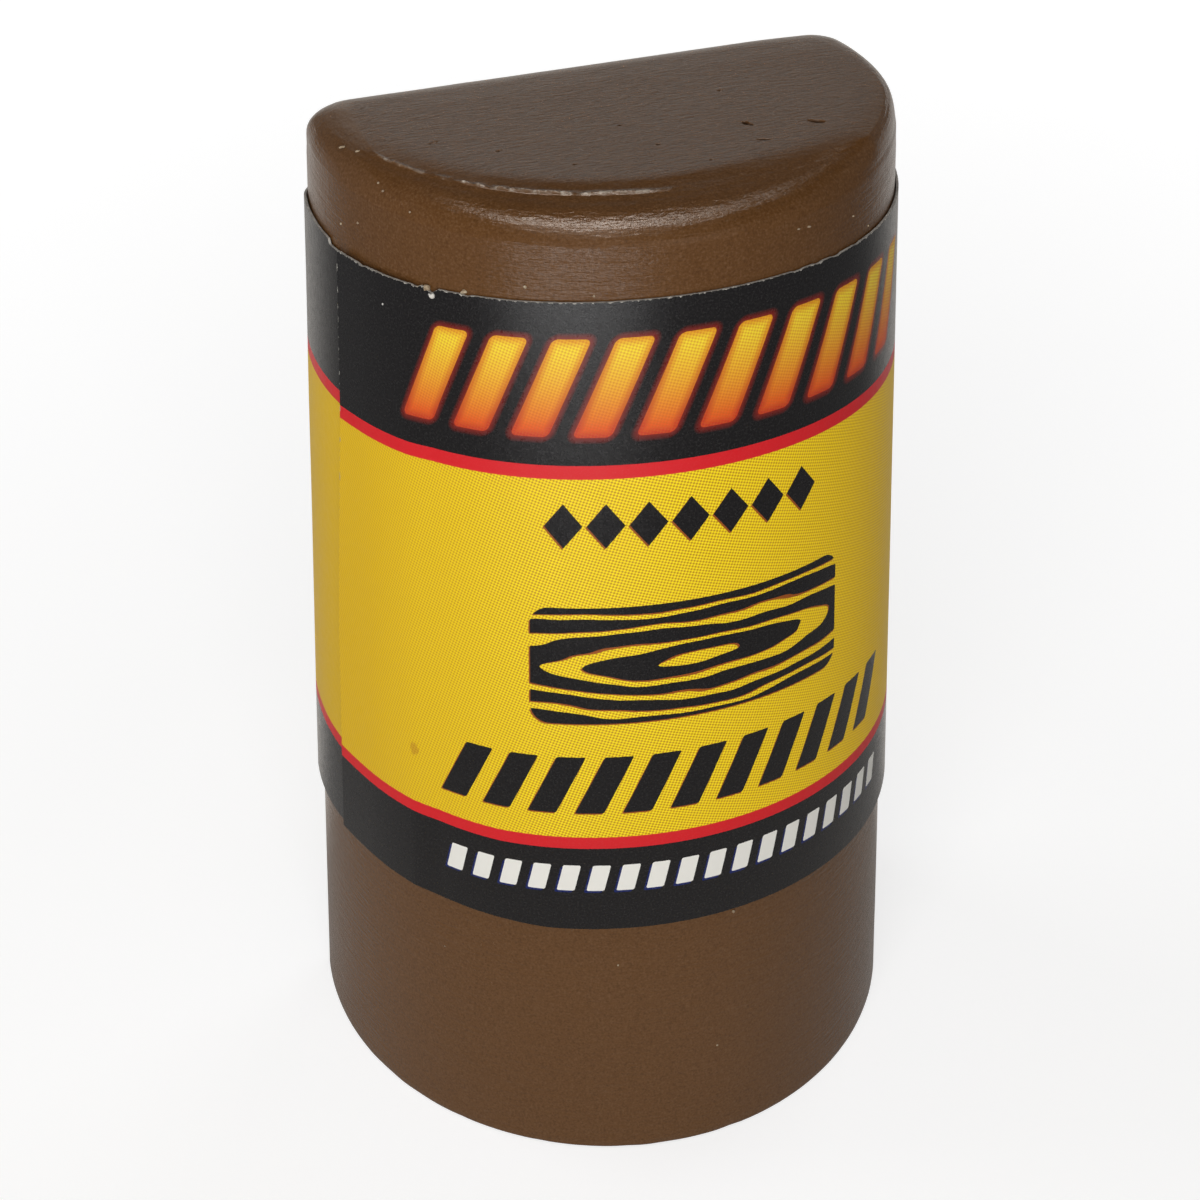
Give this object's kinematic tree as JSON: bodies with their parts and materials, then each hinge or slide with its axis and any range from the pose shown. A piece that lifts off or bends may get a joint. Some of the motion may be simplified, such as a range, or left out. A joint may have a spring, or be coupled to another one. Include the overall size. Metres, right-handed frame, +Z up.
{
  "type": "furniture repair wax stick",
  "caption": "Half-round stick of soft brown furniture repair wax, wrapped in a printed paper sleeve with a lapped seam.",
  "frame": {"origin": "on the base, at the centre of the round front's curve", "axes": "+Z up the stick from the poured base to the rounded top, round front towards -Y, flat back towards +Y"},
  "size_m": [0.0342, 0.0225, 0.058],
  "materials": {
    "wax": "satin",
    "label": "satin"
  },
  "bodies": {
    "root": {"wax_block": "wax", "wrap_label": "label"}
  },
  "joints": []
}
